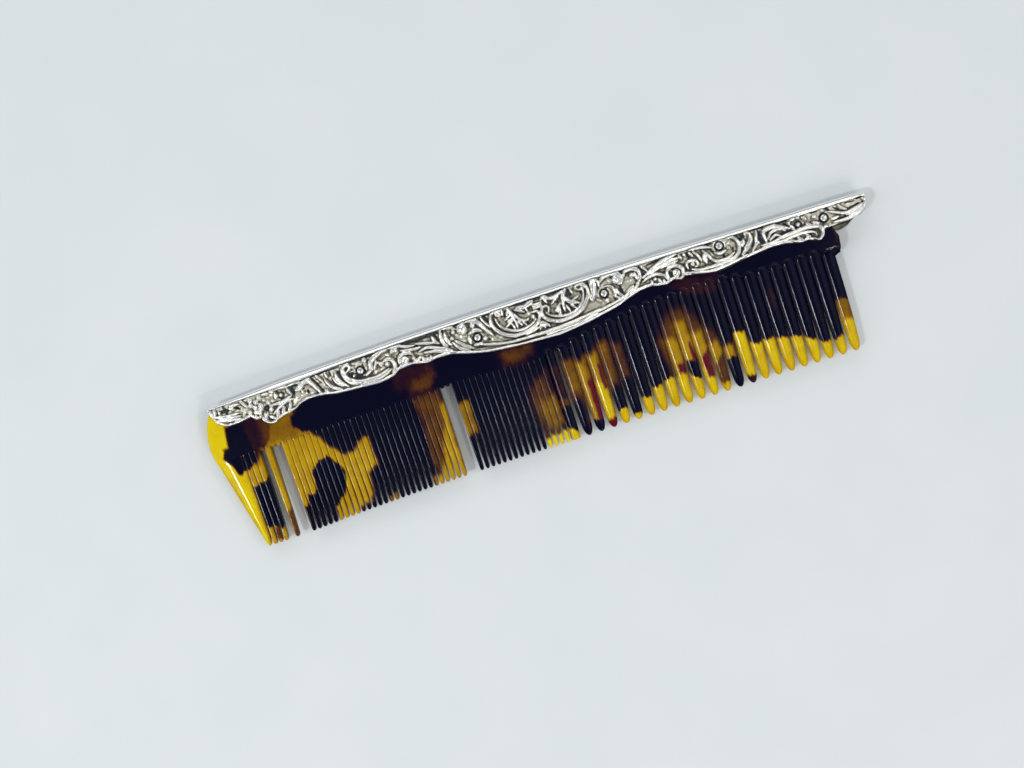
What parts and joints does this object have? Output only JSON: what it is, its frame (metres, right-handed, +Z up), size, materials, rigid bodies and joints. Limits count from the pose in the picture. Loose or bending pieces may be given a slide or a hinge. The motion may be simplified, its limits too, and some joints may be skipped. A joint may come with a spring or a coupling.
{
  "type": "dressing-table hair comb",
  "caption": "Tortoiseshell-coloured comb with fine and coarse teeth in a stamped silver mount along its spine.",
  "frame": {"origin": "middle of the base of the whole comb, lying on its back", "axes": "+X along the comb from the fine teeth to the coarse teeth, +Y from the teeth to the spine, +Z up out of the front face"},
  "size_m": [0.1792, 0.0412, 0.0066],
  "materials": {
    "tortoiseshell": "polished celluloid, near black with amber and red-brown patches, glossy and slightly scratched",
    "silver": "stamped silver, polished on the high spots and tarnished warm grey in the recesses",
    "pins": "silver rivets with worn round heads and dark tarnish round them",
    "cement": "dull brown resin cement"
  },
  "bodies": {
    "root": {"comb": "tortoiseshell", "front_shell": "silver", "back_shell": "silver", "front_bed": "cement", "back_bed": "cement", "spine_strip": "silver", "pin_1": "pins", "pin_2": "pins", "pin_3": "pins", "pin_4": "pins", "pin_5": "pins", "pin_6": "pins"}
  },
  "joints": []
}
